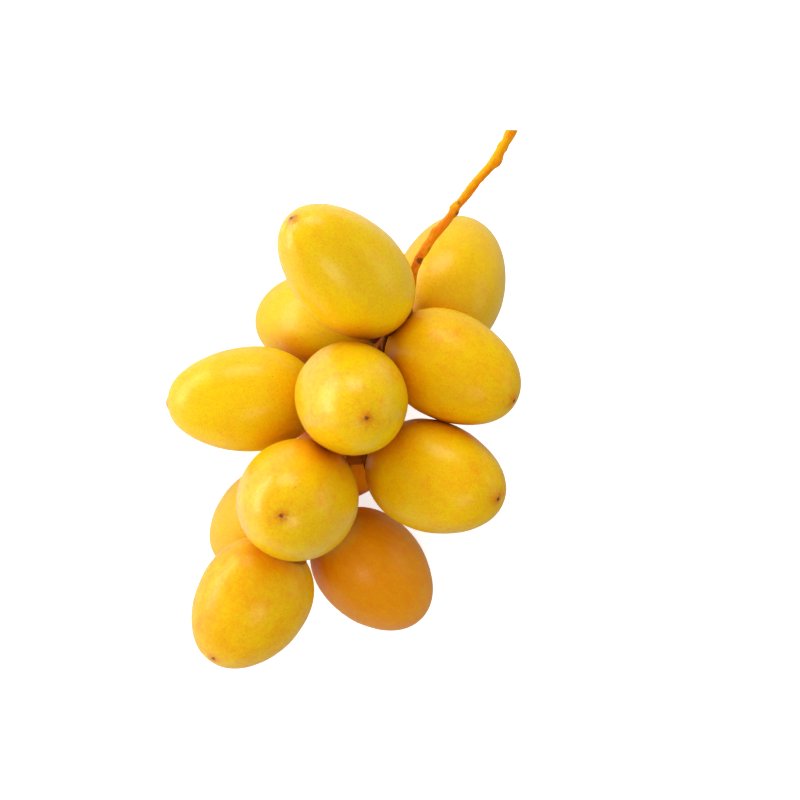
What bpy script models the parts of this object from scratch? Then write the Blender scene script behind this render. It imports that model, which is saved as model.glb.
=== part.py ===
"""A picked strand of fresh yellow dates, lying on a table.

Twelve smooth, egg-shaped dates grow out on all sides of one thin woody strand, each with its broad
end in a small three-lobed cup. The strand and its cups are one piece, and each date is one solid.
Five of the dates lie on the table, z = 0, each on a small flat spot, and the origin is in the middle
of the floor space. The strand's cut end points to +X and +Y.
"""

import math
import random
from typing import NamedTuple, Optional

import bmesh
import bpy
from mathutils import Euler, Vector

MM = 0.001
UP = Vector((0.0, 0.0, 1.0))


class Date(NamedTuple):
    """One date: its middle (mm), the way its narrow end points (degrees) and its size (mm)."""

    x: float
    y: float
    z: Optional[float]     # None for a date that lies on the table
    heading: float         # of the narrow end, from +X towards +Y
    rise: float            # of the narrow end, above level
    length: float
    girth: float           # its largest diameter


DATES = (
    Date(-13.0, 30.6, 50.7, heading=137, rise=37, length=41.0, girth=26.0),
    Date(12.8, 29.5, None, heading=73, rise=-34, length=38.5, girth=27.5),
    Date(-20.0, 19.5, None, heading=178, rise=-37, length=38.0, girth=26.0),
    Date(12.9, 7.5, 40.9, heading=331, rise=27, length=36.3, girth=25.8),
    Date(-38.4, 0.2, 29.0, heading=183, rise=1, length=37.5, girth=25.5),
    Date(-11.1, 0.0, 54.5, heading=311, rise=74, length=39.5, girth=26.0),
    Date(-24.5, -23.9, 49.0, heading=225, rise=79, length=38.0, girth=28.5),
    Date(8.9, -18.6, 41.0, heading=342, rise=38, length=38.0, girth=26.5),
    Date(-36.4, -49.6, 32.8, heading=236, rise=-13, length=35.0, girth=27.2),
    Date(-34.2, -29.8, None, heading=221, rise=-41, length=38.0, girth=23.2),
    Date(-6.5, -43.0, None, heading=312, rise=-33, length=38.0, girth=26.5),
    Date(-12.7, -9.5, None, heading=252, rise=-33, length=35.0, girth=26.0),
)

# The form of every date: fractions of its own size, lengths in mm and reaches as angles in radians
EGG = 0.12                 # how much fuller the broad end is than the middle
BLUNT = 0.87               # exponent of the narrow end's roundness, fuller the further it is below 1
SKIN_WAVE = 0.006          # how far the skin waves in and out round the girth
SKIN_WAVES = 3
DIMPLE_DEPTH = 1.0         # hollow in the broad end, where the cup holds it
DIMPLE_REACH = 0.2
NUB_HEIGHT = 0.7           # nub on the narrow end
NUB_REACH = 0.13
FLAT_DEPTH = 0.25          # a lying date is trimmed by this much where it touches the table
DATE_SIDES = 20
DATE_RINGS = 14
RING_CROWDING = 0.25       # the rings lie closer together towards both ends
SKIN_SEED = 11

# The strand's centre line from the cut end to the far tip, and its radius there (mm)
STRAND = (
    ((27.5, 65.8, 44.3), 1.30),
    ((22.7, 57.3, 42.6), 1.20),
    ((18.3, 52.2, 41.4), 1.10),
    ((11.1, 42.9, 38.9), 1.10),
    ((3.8, 32.6, 35.4), 1.20),
    ((1.0, 21.0, 31.6), 1.35),
    ((-4.5, 13.5, 29.0), 1.35),
    ((-11.3, 5.3, 28.9), 1.30),
    ((-13.3, -4.9, 28.9), 1.25),
    ((-13.5, -18.4, 29.1), 1.20),
    ((-23.3, -34.3, 30.0), 1.00),
)
STRAND_STEPS = 4                  # straight lengths between two of those points
CUT_NORMAL = (0.05, 0.98, 0.18)   # the cut end faces this way, at a slant to the strand
CUT_BACK = 1.8                    # the cut crosses the centre line this far from its first point

# Low scars on the bare stem where flowers fell: the length from the cut (mm), and the side (degrees),
# which is 90 on top and 180 towards +X
STEM_SCARS = ((4.3, 10), (8.2, 170), (22.9, 10), (23.8, 170), (30.8, 15), (35.3, 130), (39.0, 110))
SCAR_RADIUS = 0.8
SCAR_LENGTH = 1.6
SCAR_SIDES = 8
SCAR_RINGS = 6

# The cup under a date is a lobed disc that the date hollows, on a short stalk from the strand (mm)
CUP_RADIUS = 4.7
CUP_LOBES = 3
CUP_LOBE_REACH = 0.11      # how much further the lobes reach than the radius
CUP_HALF_HEIGHT = 3.1
CUP_LIFT = 0.9             # the disc's middle lies this far up the date from its broad end
CUP_SIDES = 12
CUP_RINGS = 6
STALK_ROOT_RADIUS = 1.35
STALK_TOP_RADIUS = 2.0
STALK_END = 1.6            # the stalk ends this far under the date's broad end, inside the cup
STALK_SIDES = 8
CLEARANCE = 0.35           # between the cup and the date that it holds

SHARP_ANGLE = math.radians(40)
WELD = 1e-6                # points of one mesh closer than this are the same point (m)

SKIN_COLOUR = (0.84, 0.47, 0.02)
SKIN_ROUGHNESS = 0.38
WOOD_COLOUR = (0.86, 0.32, 0.02)
WOOD_ROUGHNESS = 0.55


def make_material(name, colour, roughness):
    """A plain finish of one colour."""
    made = bpy.data.materials.new(name)
    made.use_nodes = True
    shader = made.node_tree.nodes["Principled BSDF"]
    shader.inputs["Base Color"].default_value = (*colour, 1.0)
    shader.inputs["Roughness"].default_value = roughness
    shader.inputs["Metallic"].default_value = 0.0
    made.diffuse_color = (*colour, 1.0)
    return made


def new_collection(name):
    made = bpy.data.collections.new(name)
    bpy.context.scene.collection.children.link(made)
    return made


def new_object(name, data, collection, parent):
    made = bpy.data.objects.new(name, data)
    collection.objects.link(made)
    made.parent = parent
    return made


def object_from(body, name, collection, parent):
    """An object with the mesh of a finished bmesh."""
    mesh = bpy.data.meshes.new(name)
    body.to_mesh(mesh)
    body.free()
    return new_object(name, mesh, collection, parent)


def finish_surface(mesh, finish):
    """Gives a mesh its one material and smooth shading with crisp edges."""
    mesh.materials.clear()
    mesh.materials.append(finish)
    mesh.shade_smooth()
    mesh.set_sharp_from_angle(angle=SHARP_ANGLE)


def cut_flat(mesh, point, normal):
    """Takes off what lies past a plane, given in the mesh's own space, and closes the cut."""
    body = bmesh.new()
    body.from_mesh(mesh)
    everything = body.verts[:] + body.edges[:] + body.faces[:]
    cut = bmesh.ops.bisect_plane(body, geom=everything, dist=WELD / 10, plane_co=point,
                                 plane_no=normal, clear_outer=True)
    rim = [item for item in cut["geom_cut"] if isinstance(item, bmesh.types.BMEdge)]
    bmesh.ops.holes_fill(body, edges=rim, sides=0)
    bmesh.ops.recalc_face_normals(body, faces=body.faces)
    body.to_mesh(mesh)
    body.free()


def skin_point(polar, around, length, girth, phase):
    """A point of a date's skin round its middle, with the narrow end on +Z, where polar is pi."""
    roundness = 1.0 if polar < math.pi / 2 else BLUNT
    radius = girth / 2 * max(0.0, math.sin(polar)) ** roundness * (1 + EGG * math.cos(polar))
    radius *= 1 + SKIN_WAVE * math.sin(polar) * math.cos(SKIN_WAVES * around + phase)
    reach = length / 2 if polar < math.pi / 2 else length / 2 - NUB_HEIGHT
    height = -reach * math.cos(polar)
    height += DIMPLE_DEPTH * math.exp(-((polar / DIMPLE_REACH) ** 2))
    height += NUB_HEIGHT * math.exp(-(((math.pi - polar) / NUB_REACH) ** 2))
    return Vector((radius * math.cos(around), radius * math.sin(around), height)) * MM


def date_mesh(name, length, girth, phase):
    """A sphere reshaped by the skin's formula."""
    body = bmesh.new()
    bmesh.ops.create_uvsphere(body, u_segments=DATE_SIDES, v_segments=DATE_RINGS, radius=1.0)
    for vertex in body.verts:
        polar = math.acos(max(-1.0, min(1.0, -vertex.co.z)))
        polar -= RING_CROWDING * math.sin(2 * polar)
        around = math.atan2(vertex.co.y, vertex.co.x)
        vertex.co = skin_point(polar, around, length, girth, phase)
    mesh = bpy.data.meshes.new(name)
    body.to_mesh(mesh)
    body.free()
    return mesh


def rest_on_table(date):
    """Lowers a date until it would sink by the depth of its flat spot, and trims it at z = 0."""
    bpy.context.view_layer.update()
    lowest = min((date.matrix_world @ vertex.co).z for vertex in date.data.vertices)
    date.location.z -= lowest + FLAT_DEPTH * MM
    bpy.context.view_layer.update()
    to_mesh = date.matrix_world.inverted()
    cut_flat(date.data, to_mesh @ Vector((0.0, 0.0, 0.0)), to_mesh.to_3x3() @ -UP)


def make_date(number, row, phase, collection, parent, skin):
    """One date where it grows, on the table if it lies there."""
    name = f"date_{number:02d}"
    date = new_object(name, date_mesh(name, row.length, row.girth, phase), collection, parent)
    date.location = Vector((row.x, row.y, row.z or 0.0)) * MM
    date.rotation_euler = Euler((0.0, math.radians(90 - row.rise), math.radians(row.heading)))
    if row.z is None:
        rest_on_table(date)
    finish_surface(date.data, skin)
    return date


def strand_line():
    """Centre points and radii along the strand (mm), smooth through the places of STRAND."""
    knots = [Vector((*place, radius)) for place, radius in STRAND]
    knots = [2 * knots[0] - knots[1], *knots, 2 * knots[-1] - knots[-2]]
    line = []
    for before, here, after, beyond in zip(knots, knots[1:], knots[2:], knots[3:]):
        for step in range(STRAND_STEPS):
            t = step / STRAND_STEPS
            line.append(0.5 * (2 * here + (after - before) * t
                               + (2 * before - 5 * here + 4 * after - beyond) * t ** 2
                               + (3 * here - before - 3 * after + beyond) * t ** 3))
    line.append(knots[-2])
    return [(knot.xyz, knot.w) for knot in line]


def point_along(line, reach):
    """The centre point at a length from the strand's first point (mm), and the strand's direction."""
    gone = 0.0
    for (here, _), (after, _) in zip(line, line[1:]):
        step = (after - here).length
        if gone + step >= reach:
            return here.lerp(after, (reach - gone) / step), (after - here).normalized()
        gone += step
    raise ValueError("the strand is shorter than that")


def make_tube(line, collection, parent):
    """The strand itself: a round tube that swells and thins, as a closed mesh."""
    curve = bpy.data.curves.new("strand_line", "CURVE")
    curve.dimensions = "3D"
    curve.bevel_depth = MM
    curve.bevel_resolution = 2
    curve.use_fill_caps = True
    spline = curve.splines.new("POLY")
    spline.points.add(len(line) - 1)
    for knot, (place, radius) in zip(spline.points, line):
        knot.co = (*(place * MM), 1.0)
        knot.radius = radius
    guide = new_object("strand_line", curve, collection, parent)
    bpy.context.view_layer.update()
    evaluated = guide.evaluated_get(bpy.context.evaluated_depsgraph_get())
    mesh = bpy.data.meshes.new_from_object(evaluated)
    bpy.data.objects.remove(guide)
    body = bmesh.new()
    body.from_mesh(mesh)
    bmesh.ops.remove_doubles(body, verts=body.verts, dist=WELD)
    bmesh.ops.recalc_face_normals(body, faces=body.faces)
    return object_from(body, "strand", collection, parent)


def stand_along(vertices, axis, middle):
    """Turns new vertices that stand on +Z to the axis, and moves them to their middle."""
    turn = UP.rotation_difference(axis).to_matrix()
    for vertex in vertices:
        vertex.co = turn @ vertex.co + middle


def add_scar(number, reach, side, line, additions, parent):
    """A low swelling on one side of the bare stem."""
    centre, along = point_along(line, CUT_BACK + reach)
    level = along.cross(UP).normalized()
    out = level * math.cos(math.radians(side)) + level.cross(along) * math.sin(math.radians(side))
    body = bmesh.new()
    scar = bmesh.ops.create_uvsphere(body, u_segments=SCAR_SIDES, v_segments=SCAR_RINGS,
                                     radius=SCAR_RADIUS * MM)
    for vertex in scar["verts"]:
        vertex.co.z *= SCAR_LENGTH / SCAR_RADIUS
    stand_along(scar["verts"], along, (centre + out * SCAR_RADIUS) * MM)
    object_from(body, f"scar_{number}", additions, parent)


def add_cup(number, date, row, line, additions, parent):
    """The disc under a date, and the stalk that joins it to the strand."""
    axis = (date.rotation_euler.to_matrix() @ UP).normalized()
    broad_end = date.location / MM - axis * row.length / 2

    body = bmesh.new()
    disc = bmesh.ops.create_uvsphere(body, u_segments=CUP_SIDES, v_segments=CUP_RINGS, radius=MM)
    for vertex in disc["verts"]:
        around = math.atan2(vertex.co.y, vertex.co.x)
        reach = CUP_RADIUS * (1 + CUP_LOBE_REACH * math.cos(CUP_LOBES * around))
        vertex.co *= Vector((reach, reach, CUP_HALF_HEIGHT))
    stand_along(disc["verts"], axis, (broad_end + axis * CUP_LIFT) * MM)
    object_from(body, f"cup_{number:02d}", additions, parent)

    root = min((place for place, _ in line), key=lambda place: (place - broad_end).length)
    top = broad_end - axis * STALK_END
    body = bmesh.new()
    stalk = bmesh.ops.create_cone(body, cap_ends=True, segments=STALK_SIDES,
                                  radius1=STALK_ROOT_RADIUS * MM, radius2=STALK_TOP_RADIUS * MM,
                                  depth=(top - root).length * MM)
    stand_along(stalk["verts"], top - root, (root + top) / 2 * MM)
    object_from(body, f"stalk_{number:02d}", additions, parent)


def add_room(date, row, phase, cutters, parent):
    """The cutter that makes room for a date: its own form, larger by the clearance."""
    name = f"{date.name}_room"
    mesh = date_mesh(name, row.length + 2 * CLEARANCE, row.girth + 2 * CLEARANCE, phase)
    cutter = new_object(name, mesh, cutters, parent)
    cutter.location = date.location
    cutter.rotation_euler = date.rotation_euler
    cutter.hide_render = True
    cutter.display_type = "WIRE"


def apply_boolean(target, operation, operands):
    """One Boolean with a whole collection, applied, and the collection's objects removed."""
    boolean = target.modifiers.new(operation.lower(), "BOOLEAN")
    boolean.operation = operation
    boolean.operand_type = "COLLECTION"
    boolean.collection = operands
    boolean.solver = "EXACT"
    bpy.context.view_layer.update()
    evaluated = target.evaluated_get(bpy.context.evaluated_depsgraph_get())
    mesh = bpy.data.meshes.new_from_object(evaluated)
    target.modifiers.clear()
    target.data = mesh
    for operand in list(operands.objects):
        bpy.data.objects.remove(operand)


def make_strand(dates, phases, collection, additions, cutters, parent, wood):
    """Tube, scars, stalks and cups in one solid, with room in it for every date."""
    line = strand_line()
    strand = make_tube(line, collection, parent)
    cut_flat(strand.data, point_along(line, CUT_BACK)[0] * MM, Vector(CUT_NORMAL))
    for number, (reach, side) in enumerate(STEM_SCARS, 1):
        add_scar(number, reach, side, line, additions, parent)
    for number, (date, row, phase) in enumerate(zip(dates, DATES, phases), 1):
        add_cup(number, date, row, line, additions, parent)
        add_room(date, row, phase, cutters, parent)
    apply_boolean(strand, "UNION", additions)
    apply_boolean(strand, "DIFFERENCE", cutters)
    finish_surface(strand.data, wood)
    return strand


def centre_on_origin(parent, pieces):
    """Moves the whole strand so that its floor space is centred on the origin."""
    bpy.context.view_layer.update()
    corners = [piece.matrix_world @ vertex.co for piece in pieces for vertex in piece.data.vertices]
    for axis in (0, 1):
        values = [corner[axis] for corner in corners]
        parent.location[axis] = -(min(values) + max(values)) / 2


def main():
    for old in list(bpy.data.objects):
        bpy.data.objects.remove(old)
    collection = new_collection("date_strand")
    additions = new_collection("strand_additions")
    cutters = new_collection("cutters")
    parent = new_object("bunch", None, collection, None)
    skin = make_material("date_skin", SKIN_COLOUR, SKIN_ROUGHNESS)
    wood = make_material("strand_wood", WOOD_COLOUR, WOOD_ROUGHNESS)

    draw = random.Random(SKIN_SEED)
    phases = [draw.uniform(0.0, math.tau) for _ in DATES]
    dates = [make_date(number, row, phase, collection, parent, skin)
             for number, (row, phase) in enumerate(zip(DATES, phases), 1)]
    strand = make_strand(dates, phases, collection, additions, cutters, parent, wood)
    centre_on_origin(parent, [strand, *dates])


main()
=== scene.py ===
"""Fresh yellow dates on their picked strand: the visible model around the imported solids.

The file is laid out as an add-on and run as a script. Each operator makes one kind of piece from the
settings of its property group, and main() calls them in order.
"""

import math
import random

import bmesh
import bpy
from mathutils import Euler, Matrix, Vector
from mathutils.kdtree import KDTree


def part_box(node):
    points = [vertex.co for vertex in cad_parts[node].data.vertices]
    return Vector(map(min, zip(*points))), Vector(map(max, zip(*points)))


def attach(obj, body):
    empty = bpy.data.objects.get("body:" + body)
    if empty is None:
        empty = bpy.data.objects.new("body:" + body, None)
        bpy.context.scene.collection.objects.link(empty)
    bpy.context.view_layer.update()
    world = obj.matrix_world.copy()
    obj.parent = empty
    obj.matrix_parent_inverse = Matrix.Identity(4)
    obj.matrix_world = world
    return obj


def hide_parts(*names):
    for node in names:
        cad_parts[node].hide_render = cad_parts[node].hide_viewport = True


bl_info = {
    "name": "Strand of fresh dates",
    "version": (1, 0, 0),
    "blender": (4, 5, 0),
    "location": "View3D > Sidebar > Dates",
    "description": "Models a picked strand of fresh yellow dates around its solids",
    "category": "Add Mesh",
}

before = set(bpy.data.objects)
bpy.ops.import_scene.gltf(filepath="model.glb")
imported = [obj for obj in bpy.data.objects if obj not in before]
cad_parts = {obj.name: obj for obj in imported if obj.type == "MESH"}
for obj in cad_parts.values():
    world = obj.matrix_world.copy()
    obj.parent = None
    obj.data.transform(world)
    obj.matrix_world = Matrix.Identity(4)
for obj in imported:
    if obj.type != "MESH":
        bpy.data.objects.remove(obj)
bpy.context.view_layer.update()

MM = 0.001
UP = Vector((0.0, 0.0, 1.0))
WELD = 1e-6
BODY = "root"

# Where the middle of the floor space lies in the space that STRAND is measured in (mm)
MIDDLE = Vector((-14.2478, -0.3965, 0.0))

# Every date: the way its narrow end points (heading from +X towards +Y, rise above level, degrees), its
# length and girth (mm), and its own finish. Tone runs from lemon (0) to russet (1), and the high tone of
# the last two dates is painted shade, as they lie in the shade of their neighbours. Bloom is how pale and
# dull the wax is, partly real bloom and partly painted light, strongest on the lit dates on the left.
# Mottle is how patchy the colour is, shine how thick the wax is, and freckles how many brown specks there
# are. The scar at the tip lies scar_up above the middle of it (mm).
DATE_COLUMNS = ("heading", "rise", "length", "girth", "tone", "bloom_and_lit_paleness",
                "mottle", "shine", "freckles", "scar_up")
DATES = [dict(zip(DATE_COLUMNS, row)) for row in (
    (137, 37, 41.0, 26.0, 0.12, 0.4, 0.55, 1.0, 0.3, 0.0),
    (73, -34, 38.5, 27.5, 0.24, 0.45, 0.45, 0.8, 0.3, 0.0),
    (178, -37, 38.0, 26.0, 0.14, 0.6, 0.4, 0.55, 0.2, 0.0),
    (331, 27, 36.3, 25.8, 0.36, 0.2, 0.5, 0.35, 0.3, 0.0),
    (183, 1, 37.5, 25.5, 0.08, 0.3, 0.5, 0.6, 0.8, 0.0),
    (311, 74, 39.5, 26.0, 0.28, 0.4, 0.75, 0.9, 0.3, 0.0),
    (225, 79, 38.0, 28.5, 0.30, 0.3, 0.6, 0.9, 0.4, 0.0),
    (342, 38, 38.0, 26.5, 0.34, 0.2, 0.5, 0.5, 0.2, 0.0),
    (236, -13, 35.0, 27.2, 0.45, 0.3, 0.5, 0.5, 0.4, 7.4),
    (221, -41, 38.0, 23.2, 0.24, 0.8, 0.3, 0.7, 0.4, 0.0),
    # Painted shade: the last two dates get a russet tone because they lie in shade
    (312, -33, 38.0, 26.5, 0.86, 0.0, 0.12, 0.35, 0.1, 0.0),
    (252, -33, 35.0, 26.0, 1.10, 0.0, 0.12, 0.2, 0.1, 0.0),
)]
SKIN_SEED = 11

# The form of every date: sizes (mm) at the usual length, and angles from its broad end and its tip. Rings
# crowd towards both ends. Its box is measured in steps, and the lumps in its skin have a width (mm).
USUAL_LENGTH = 38.0
EGG = 0.12
BLUNT = 0.87
DIMPLE_DEPTH = 1.0
DIMPLE_REACH = 0.2
NUB_HEIGHT = 0.45
NUB_REACH = 0.08
RING_CROWDING = 0.25
BOX_STEPS = 48
LUMP_WIDTH = 12.0

# The cup that holds a date's broad end (mm): it follows the skin up to an angle from the middle
USUAL_GIRTH = 26.0
CUP_POLAR = 0.37
CUP_GAP = 0.12
CUP_EDGE = 0.35
CUP_PAD = 2.2
CUP_LOBES = 3
CUP_SIDES = 48
CUP_RINGS = 20
NOTCH = Vector((-1.5, 0.0, -0.65))
NOTCH_WIDTH = 0.45
NOTCH_REACH = 2.8
WHORL_GAP = 0.06

# The stalk from the stem to a cup, and the pad under the cup (mm)
STALK_FOOT_RADIUS = 1.35
STALK_TOP_RADIUS = 1.7
STALK_TOP_DEPTH = 1.6
PAD_RADIUS = 2.4
PAD_DEPTH = 1.3
PAD_FLATNESS = 0.55

# The strand's centre line from the cut end to the far tip, and its radius there (mm)
STRAND = (
    ((27.5, 65.8, 44.3), 1.30),
    ((22.7, 57.3, 42.6), 1.20),
    ((18.3, 52.2, 41.4), 1.10),
    ((11.1, 42.9, 38.9), 1.10),
    ((3.8, 32.6, 35.4), 1.20),
    ((1.0, 21.0, 31.6), 1.35),
    ((-4.5, 13.5, 29.0), 1.35),
    ((-11.3, 5.3, 28.9), 1.30),
    ((-13.3, -4.9, 28.9), 1.25),
    ((-13.5, -18.4, 29.1), 1.20),
    ((-23.3, -34.3, 30.0), 1.00),
)
STRAND_STEPS = 8
CUT_NORMAL = Vector((0.05, 0.98, 0.18)).normalized()
CUT_BACK = 1.8

# Relief of the stem: name, width and height of its lumps (mm)
STEM_RELIEF = (
    ("stem_knobs", 3.6, 0.7),
    ("stem_grain", 1.2, 0.2),
)

# Scars on the bare stem: length from the cut (mm), side (degrees, 90 on top and 180 towards +X), radius
# of the swelling (mm), and how dark the scar on it is
STEM_SCARS = (
    (4.3, 10, 0.75, 0.0),
    (8.0, 165, 0.85, 0.35),
    (13.0, 20, 0.55, 0.0),
    (15.2, 165, 0.55, 0.0),
    (22.9, 10, 0.75, 0.1),
    (21.4, 80, 0.40, 0.6),
    (23.8, 170, 0.70, 0.55),
    (30.8, 15, 0.80, 0.05),
    (34.8, 145, 0.45, 0.5),
    (38.5, 125, 0.50, 0.9),
)
SWELLING_STRETCH = 2.0

# How far out a scar's mark lies and how far it spreads, in radii of its swelling, and its darkness
MARK_OUT = 1.6
MARK_SPREAD = 2.6
MARK_STRENGTH = 1.8

# Painted shade where surfaces crowd a point, put into the colour by ambient occlusion: how open it is
# where the shade starts and where it is fullest, the share of the full shade, and the shade's colour. The
# painted shade between dates is warm, and deep gaps are painted dark.
NEAR_SHADE = (0.92, 0.35, 0.8, (1.0, 0.72, 0.5, 1.0))
DEEP_SHADE = (0.28, 0.05, 0.7, (0.62, 0.30, 0.3, 1.0))
WOOD_SHADE = (0.72, 0.18, 0.85, (0.35, 0.20, 0.2, 1.0))

# How stem and cups shine: weakly and warm
WOOD_SHEEN = {"Specular IOR Level": 0.2, "Specular Tint": (1.0, 0.80, 0.30, 1.0)}

# How far the floor lies under the dates, and how near they have to be for light to pass it (m), so that
# the spots they rest on aren't black
FLOOR_DEPTH = 0.0001
RESTING_GAP = 0.0015

# Softboxes round the middle of the bunch: name, azimuth from +X and elevation (degrees), distance, width
# and height (m), brightness, whether they light surfaces, and whether the wax mirrors them
LIT_PLACE = Vector((0.0, 0.0, 0.035))
LIGHTS = (
    ("top", 100, 22, 0.45, 0.30, 0.17, 5.0, True, False),
    ("top_shine", 100, 22, 0.45, 0.28, 0.17, 6.3, False, True),
    ("left", -166, 18, 0.42, 0.22, 0.20, 3.9, True, False),
    ("left_shine", -172, 3, 0.42, 0.44, 0.34, 1.0, False, True),
    ("right_shine", 5, 10, 0.50, 0.40, 0.22, 1.2, False, True),
    ("bottom", -80, 54, 0.60, 0.20, 0.14, 4.0, True, False),
    ("bottom_shine", -80, 56, 0.60, 0.24, 0.24, 4.2, False, True),
    ("rim", 158, 3, 0.50, 0.60, 0.24, 6.5, False, True),
)


def make_active(piece):
    """Selects one object and nothing else."""
    bpy.ops.object.select_all(action="DESELECT")
    piece.select_set(True)
    bpy.context.view_layer.objects.active = piece


def select_vertices(piece, numbers):
    """Selects these vertices of the mesh in edit mode, and nothing else."""
    body = bmesh.from_edit_mesh(piece.data)
    body.verts.ensure_lookup_table()
    for element in (*body.faces, *body.edges, *body.verts):
        element.select = False
    for number in numbers:
        body.verts[number].select = True
    body.select_flush_mode()
    bmesh.update_edit_mesh(piece.data)


def shape_rings(piece, profile):
    """Gives each ring of a fresh upright sphere, from the bottom pole up, its radius and height."""
    rings = {}
    for vertex in piece.data.vertices:
        rings.setdefault(round(vertex.co.z, 6), []).append(vertex.index)
    heights = sorted(rings)
    radii = [piece.data.vertices[rings[height][0]].co.xy.length for height in heights]
    make_active(piece)
    bpy.ops.object.mode_set(mode="EDIT")
    bpy.context.tool_settings.mesh_select_mode = (True, False, False)
    for height, old_radius, (radius, new_height) in zip(heights, radii, profile):
        select_vertices(piece, rings[height])
        if old_radius > WELD:
            growth = radius / old_radius
            bpy.ops.transform.resize(value=(growth, growth, 1.0), center_override=(0.0, 0.0, height))
        bpy.ops.transform.translate(value=(0.0, 0.0, new_height - height))
    bpy.ops.object.mode_set(mode="OBJECT")


def copy_of(model, name):
    """A copy with its own mesh."""
    make_active(model)
    bpy.ops.object.duplicate(linked=False)
    made = bpy.context.object
    made.name = name
    made.data.name = name
    return made


def settle(piece, matrix):
    """Moves a piece by a matrix and leaves the place in its mesh."""
    make_active(piece)
    piece.matrix_world = matrix
    bpy.ops.object.transform_apply(location=True, rotation=True, scale=True)


def apply_modifier(piece, kind, **values):
    """Adds one modifier and applies it."""
    make_active(piece)
    modifier = piece.modifiers.new(kind.lower(), kind)
    for name, value in values.items():
        setattr(modifier, name, value)
    bpy.ops.object.modifier_apply(modifier=modifier.name)


def remove(piece):
    make_active(piece)
    bpy.ops.object.delete()


def low_and_high(points):
    points = list(points)
    low = Vector(min(point[axis] for point in points) for axis in range(3))
    high = Vector(max(point[axis] for point in points) for axis in range(3))
    return low, high


def join(pieces, name):
    """Joins pieces into the first of them."""
    bpy.ops.object.select_all(action="DESELECT")
    for piece in pieces:
        piece.select_set(True)
    bpy.context.view_layer.objects.active = pieces[0]
    bpy.ops.object.join()
    pieces[0].name = name
    pieces[0].data.name = name
    return pieces[0]


def displace(piece, name, width, height):
    """Gives a surface soft lumps of about this width and height (mm)."""
    lumps = bpy.data.textures.get(name) or bpy.data.textures.new(name, "CLOUDS")
    lumps.noise_scale = width * MM
    lumps.noise_depth = 2
    apply_modifier(piece, "DISPLACE", texture=lumps, strength=height * MM, mid_level=0.5,
                   texture_coords="LOCAL")


def trim(piece, place, normal, fan=False):
    """Cuts off what lies beyond a plane and closes the cut, with a fan of triangles if wanted."""
    make_active(piece)
    bpy.ops.object.mode_set(mode="EDIT")
    bpy.ops.mesh.select_all(action="SELECT")
    bpy.ops.mesh.bisect(plane_co=place, plane_no=normal, use_fill=True, clear_outer=True, threshold=WELD)
    if fan:
        bpy.ops.mesh.poke()
    bpy.ops.object.mode_set(mode="OBJECT")


def store(piece, name, kind, values):
    """Stores a number (FLOAT) or a vector (FLOAT_VECTOR) for each point of a mesh."""
    made = piece.data.attributes.new(name, kind, "POINT")
    made.data.foreach_set("vector" if kind == "FLOAT_VECTOR" else "value", values)


def dress(piece, material, replaced=()):
    """Gives a finished piece its material, body and slot."""
    piece.data.materials.clear()
    piece.data.materials.append(material)
    make_active(piece)
    bpy.ops.object.shade_smooth()
    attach(piece, BODY)
    if replaced:
        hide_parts(*replaced)


def colour(red, green, blue):
    return (red, green, blue, 1.0)


def set_sockets(node, values):
    for name, value in values.items():
        node.inputs[name].default_value = value


class Nodes:
    """Short ways to add and link shader nodes in one tree."""

    def __init__(self, tree):
        self.tree = tree

    def add(self, kind, **values):
        node = self.tree.nodes.new(kind)
        for name, value in values.items():
            setattr(node, name, value)
        return node

    def put(self, value, socket):
        if isinstance(value, bpy.types.NodeSocket):
            self.tree.links.new(value, socket)
        elif value is not None:
            socket.default_value = value

    def math(self, operation, first, second=None, third=None, clamp=False):
        node = self.add("ShaderNodeMath", operation=operation, use_clamp=clamp)
        for socket, value in zip(node.inputs, (first, second, third)):
            self.put(value, socket)
        return node.outputs[0]

    def vector(self, operation, first, second=None, output=0):
        node = self.add("ShaderNodeVectorMath", operation=operation)
        self.put(first, node.inputs[0])
        self.put(second, node.inputs[1])
        return node.outputs[output]

    def noise(self, place, scale, detail=2.0, roughness=0.5, distortion=0.0):
        node = self.add("ShaderNodeTexNoise")
        self.put(place, node.inputs["Vector"])
        set_sockets(node, {"Scale": scale, "Detail": detail, "Roughness": roughness,
                           "Distortion": distortion})
        return node.outputs["Fac"]

    def ramp(self, value, low, high, start=0.0, end=1.0, smooth=True):
        """Runs from start at low to end at high, and stays there beyond."""
        node = self.add("ShaderNodeMapRange", clamp=True)
        node.interpolation_type = "SMOOTHSTEP" if smooth else "LINEAR"
        for socket, put in zip(node.inputs, (value, low, high, start, end)):
            self.put(put, socket)
        return node.outputs[0]

    def mix(self, factor, first, second, blend="MIX"):
        node = self.add("ShaderNodeMix", data_type="RGBA", blend_type=blend)
        self.put(factor, node.inputs["Factor"])
        for name, value in (("A", first), ("B", second)):
            socket = next(s for s in node.inputs if s.name == name and s.type == "RGBA")
            self.put(value, socket)
        return next(s for s in node.outputs if s.type == "RGBA")

    def split(self, place):
        """The X, Y and Z of a vector."""
        node = self.add("ShaderNodeSeparateXYZ")
        self.put(place, node.inputs[0])
        return node.outputs

    def combine(self, *values):
        """A vector from its X, Y and Z, or from the first of them."""
        node = self.add("ShaderNodeCombineXYZ")
        for socket, value in zip(node.inputs, values):
            self.put(value, socket)
        return node.outputs[0]

    def weigh(self, *weighted):
        """The sum of values times their weights."""
        total = 0.0
        for value, weight in weighted:
            total = self.math("MULTIPLY_ADD", value, weight, total)
        return total

    def off_centre(self, value, weight):
        """A weight times how far a noise is from its middle."""
        return self.math("MULTIPLY", self.math("SUBTRACT", value, 0.5), weight)

    def paint_crowd_shade(self, surface, reach, shade):
        """Paints shade into a colour where other surfaces within reach crowd it."""
        open_at, closed_at, share, tint = shade
        openness = self.add("ShaderNodeAmbientOcclusion", samples=6)
        openness.inputs["Distance"].default_value = reach
        crowding = self.ramp(openness.outputs["AO"], open_at, closed_at)
        return self.mix(self.math("MULTIPLY", crowding, share), surface, tint, blend="MULTIPLY")


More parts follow.
